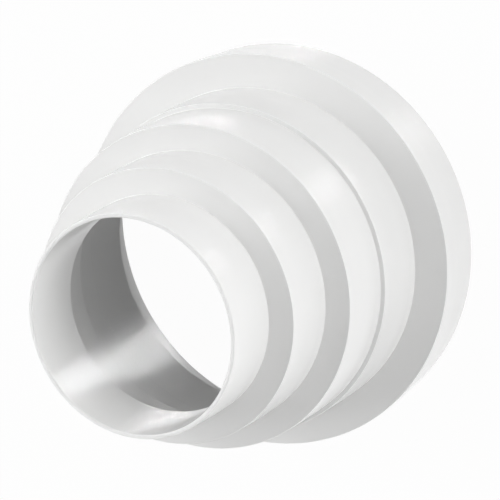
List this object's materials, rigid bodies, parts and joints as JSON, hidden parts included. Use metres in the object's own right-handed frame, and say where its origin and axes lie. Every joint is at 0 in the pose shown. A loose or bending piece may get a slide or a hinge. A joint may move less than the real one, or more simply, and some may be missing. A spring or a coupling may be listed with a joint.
{
  "type": "duct reducer",
  "caption": "Stepped round duct reducer of white plastic, one hollow moulding: push-on collars of growing size in line, joined by flat ring shoulders and open from end to end.",
  "frame": {"origin": "centre of the large rim, on the surface that the part stands on", "axes": "+Z along the part's axis, from the large rim up to the small one; the part is round, so X and Y are alike"},
  "size_m": [0.15, 0.15, 0.125],
  "materials": {
    "white_plastic": "smooth moulded white plastic with a satin gloss"
  },
  "bodies": {
    "root": {"reducer_body": "white_plastic"}
  },
  "joints": []
}
